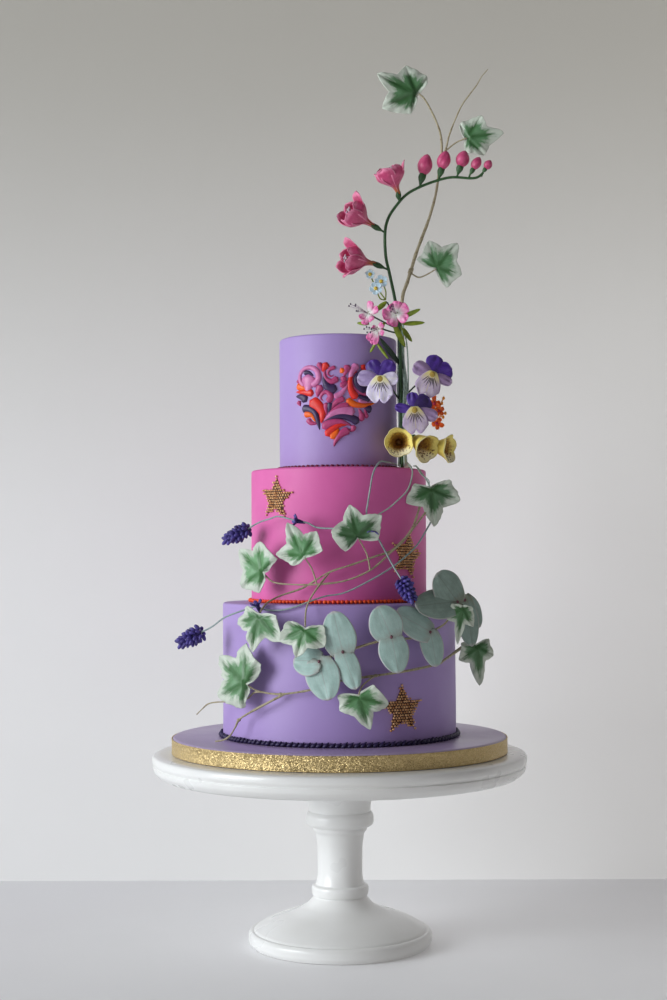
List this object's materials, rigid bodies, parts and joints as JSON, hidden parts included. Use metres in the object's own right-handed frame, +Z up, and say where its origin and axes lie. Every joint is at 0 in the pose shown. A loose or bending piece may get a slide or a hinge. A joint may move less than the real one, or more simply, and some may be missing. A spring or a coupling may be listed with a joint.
{
  "type": "wedding cake",
  "caption": "Tiered wedding cake iced in purple, pink and lilac, with sugar ivy, freesias, violas and eucalyptus on wires, on a ribboned board and a white pedestal stand.",
  "frame": {"origin": "centre of the underside of the stand's foot, on the surface that it stands on", "axes": "+Z up along the cake's centre line, the decorated front faces -Y, +X to the right seen from the front"},
  "size_m": [0.34, 0.34, 0.8101],
  "materials": {
    "white_paint": "white satin paint",
    "gold_ribbon": "woven metallic ribbon, glittering",
    "board_icing": "matt sugar paste, faint wrinkles",
    "purple_icing": "matt sugar paste with gold beads",
    "pink_icing": "matt sugar paste with gold beads",
    "lilac_icing": "matt sugar paste with piped drops",
    "navy_icing": "piped royal icing, satin",
    "orange_icing": "piped royal icing, satin",
    "raspberry_icing": "piped royal icing, satin",
    "ivy_sugar": "glazed sugar leaf, pale margin",
    "stem_tape": "waxed floral tape",
    "twig_tape": "waxed floral tape, knotty",
    "pink_petal": "dusted sugar petal",
    "blue_petal": "dusted sugar petal",
    "viola_petal": "dusted sugar petal",
    "orange_petal": "dusted sugar petal",
    "yellow_petal": "dusted sugar petal, speckled throat",
    "lavender_petal": "dusted sugar petals on wire",
    "eucalyptus_sugar": "powdery sugar leaf"
  },
  "bodies": {
    "root": {"stand_pedestal": "white_paint", "stand_plate": "white_paint", "board_ribbon": "gold_ribbon", "cake_board": "board_icing", "tier_bottom": "purple_icing", "tier_middle": "pink_icing", "tier_top": "lilac_icing", "border_bottom": "navy_icing", "border_middle": "orange_icing", "border_top": "raspberry_icing", "ivy_leaf_1": "ivy_sugar", "ivy_leaf_2": "ivy_sugar", "ivy_leaf_3": "ivy_sugar", "ivy_leaf_4": "ivy_sugar", "ivy_leaf_5": "ivy_sugar", "ivy_leaf_6": "ivy_sugar", "ivy_leaf_7": "ivy_sugar", "ivy_leaf_8": "ivy_sugar", "ivy_leaf_9": "ivy_sugar", "ivy_leaf_10": "ivy_sugar", "ivy_leaf_11": "ivy_sugar", "ivy_leaf_12": "ivy_sugar", "ivy_leaf_13": "ivy_sugar", "ivy_vine": "stem_tape", "freesia_stem": "stem_tape", "stem_bundle": "stem_tape", "loose_wire": "stem_tape", "leaf_wire": "stem_tape", "twig_upper_1": "twig_tape", "twig_upper_2": "twig_tape", "twig_lower": "twig_tape", "eucalyptus_stem": "twig_tape", "freesia_flower_1": "pink_petal", "freesia_flower_2": "pink_petal", "freesia_flower_3": "pink_petal", "freesia_bud_1": "pink_petal", "freesia_bud_2": "pink_petal", "freesia_bud_3": "pink_petal", "freesia_bud_4": "pink_petal", "freesia_bud_5": "pink_petal", "pink_flower_1": "pink_petal", "pink_flower_2": "pink_petal", "pink_flower_3": "pink_petal", "forget_me_nots": "blue_petal", "viola_1": "viola_petal", "viola_2": "viola_petal", "viola_3": "viola_petal", "orange_cluster": "orange_petal", "foxglove_1": "yellow_petal", "foxglove_2": "yellow_petal", "foxglove_3": "yellow_petal", "lavender_1": "lavender_petal", "lavender_2": "lavender_petal", "lavender_3": "lavender_petal", "eucalyptus_pair_1": "eucalyptus_sugar", "eucalyptus_pair_2": "eucalyptus_sugar", "eucalyptus_pair_3": "eucalyptus_sugar", "eucalyptus_pair_4": "eucalyptus_sugar", "eucalyptus_pair_5": "eucalyptus_sugar", "eucalyptus_pair_6": "eucalyptus_sugar"}
  },
  "joints": []
}
